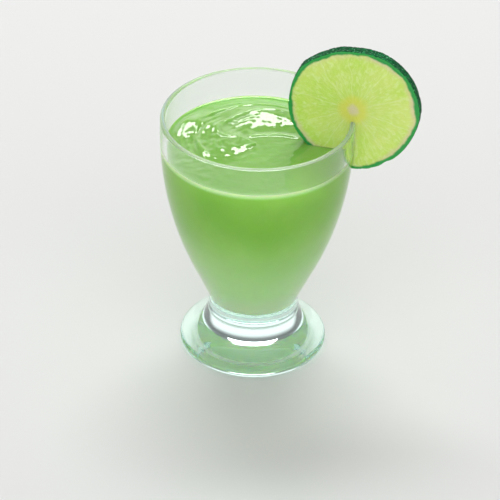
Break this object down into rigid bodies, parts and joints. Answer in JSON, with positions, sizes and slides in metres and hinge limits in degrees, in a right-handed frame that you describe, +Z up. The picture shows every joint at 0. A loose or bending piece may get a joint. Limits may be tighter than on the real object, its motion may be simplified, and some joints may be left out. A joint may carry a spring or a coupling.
{
  "type": "green smoothie in a footed glass",
  "caption": "Creamy green smoothie filling a small clear footed glass, with a slit slice of lime standing on the rim.",
  "frame": {"origin": "middle of the flat ring under the foot", "axes": "+Z up along the glass's axis; +X towards the lime slice; -Y is the side the slice's face looks to"},
  "size_m": [0.0941, 0.0704, 0.1263],
  "materials": {
    "clear_glass": "clear, polished, with a faint green cast",
    "smoothie": "creamy liquid, opaque, wet and glossy",
    "lime": "wet cut citrus flesh with a dark green, pored rind"
  },
  "bodies": {
    "root": {"glass": "clear_glass", "smoothie": "smoothie", "lime_slice": "lime"}
  },
  "joints": []
}
